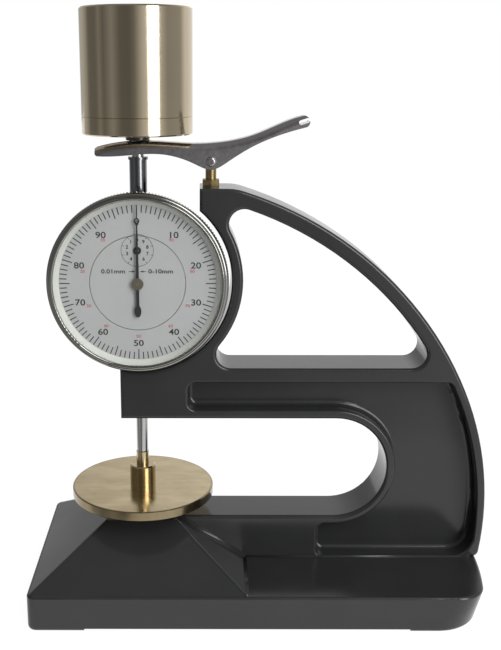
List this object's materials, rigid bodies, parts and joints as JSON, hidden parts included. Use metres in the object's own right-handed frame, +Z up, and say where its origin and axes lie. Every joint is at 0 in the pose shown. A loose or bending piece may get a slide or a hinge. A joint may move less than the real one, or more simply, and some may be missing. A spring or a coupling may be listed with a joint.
{
  "type": "thickness gauge",
  "caption": "Bench thickness gauge: cast C-frame on a pedestal base, dial indicator, weighted round presser foot and a thumb lever that lifts it.",
  "frame": {"origin": "middle of the base footprint on the resting plane", "axes": "+Z up, +X from the open throat to the spine of the frame, -Y towards the reader of the dial"},
  "size_m": [0.1576, 0.074, 0.1997],
  "materials": {
    "frame_paint": "gloss black stoving paint over cast iron",
    "hardened_steel": "ground",
    "aged_brass": "aged, satin",
    "polished_brass": "polished",
    "turned_brass": "fine turned",
    "lever_chrome": "worn bright plating",
    "spindle_steel": "ground and polished",
    "black_collar": "black oxide",
    "tube_chrome": "bright plating",
    "case_metal": "satin plating",
    "bezel_chrome": "bright, knurled edge",
    "crystal_glass": "clear flat crystal",
    "dial_white": "pale grey enamel, matt",
    "rim_enamel": "pale cream enamel, satin",
    "hand_black": "black lacquer",
    "cap_brass": "satin",
    "movement_brass": "stamped, satin",
    "movement_steel": "bright"
  },
  "bodies": {
    "stand": {"frame_casting": "frame_paint", "anvil": "hardened_steel", "stem_clamp_screw": "hardened_steel", "lever_post": "aged_brass", "post_lock_nut": "aged_brass", "lever_pivot_pin": "lever_chrome", "indicator_case": "case_metal", "indicator_stem": "spindle_steel", "guide_tube": "tube_chrome", "back_cover": "case_metal", "back_cover_screws": "case_metal", "centre_plate": "dial_white", "front_plate": "movement_brass", "movement_screws": "movement_steel", "plate_pillars": "movement_brass", "bridge_plate": "movement_brass", "bridge_screws": "movement_steel", "hairspring_stud": "movement_steel", "pinion_cock": "movement_brass", "guide_block": "movement_brass"},
    "loaded_spindle": {"rack_spindle": "spindle_steel", "guide_pin": "spindle_steel", "contact_rod": "polished_brass", "presser_foot": "polished_brass", "lift_collar": "black_collar", "lower_weight": "turned_brass", "upper_weight": "turned_brass"},
    "lever": {"lifting_lever": "lever_chrome"},
    "bezel_unit": {"bezel": "bezel_chrome", "crystal": "crystal_glass", "scale_rim": "rim_enamel", "scale_ring": "dial_white"},
    "pointer": {"centre_pinion": "movement_steel", "pointer_hand": "hand_black", "pointer_cap": "cap_brass"},
    "transmission": {"rack_pinion": "movement_steel", "transmission_wheel": "movement_brass"},
    "take_up": {"take_up_wheel": "movement_brass", "hairspring": "movement_steel", "counter_hand": "hand_black"}
  },
  "joints": [
    {"name": "spindle_slide", "type": "slide", "parent": "stand", "child": "loaded_spindle", "axis": [0, 0, 1], "range_m": [0, 0.01]},
    {"name": "lever_lift", "type": "hinge", "parent": "stand", "child": "lever", "pos_m": [-0.017, 0, 0.1517], "axis": [0, 1, 0], "range_deg": [0, 19]},
    {"name": "bezel_turn", "type": "hinge", "parent": "stand", "child": "bezel_unit", "pos_m": [-0.041, 0, 0.1127], "axis": [0, 1, 0], "continuous": true},
    {"name": "pointer_turn", "type": "hinge", "parent": "stand", "child": "pointer", "pos_m": [-0.041, 0, 0.1127], "axis": [0, 1, 0], "range_deg": [0, 3601]},
    {"name": "transmission_turn", "type": "hinge", "parent": "stand", "child": "transmission", "pos_m": [-0.04393, 0, 0.1021], "axis": [0, 1, 0], "range_deg": [-360.1, 0]},
    {"name": "counter_turn", "type": "hinge", "parent": "stand", "child": "take_up", "pos_m": [-0.041, 0, 0.1237], "axis": [0, 1, 0], "range_deg": [-360.1, 0]}
  ],
  "couplings": [
    {"joint": "lever_lift", "follows": "spindle_slide", "rad_per_m": 33},
    {"joint": "pointer_turn", "follows": "spindle_slide", "rad_per_m": 6283.2},
    {"joint": "transmission_turn", "follows": "spindle_slide", "rad_per_m": -628.32},
    {"joint": "counter_turn", "follows": "spindle_slide", "rad_per_m": -628.32}
  ]
}
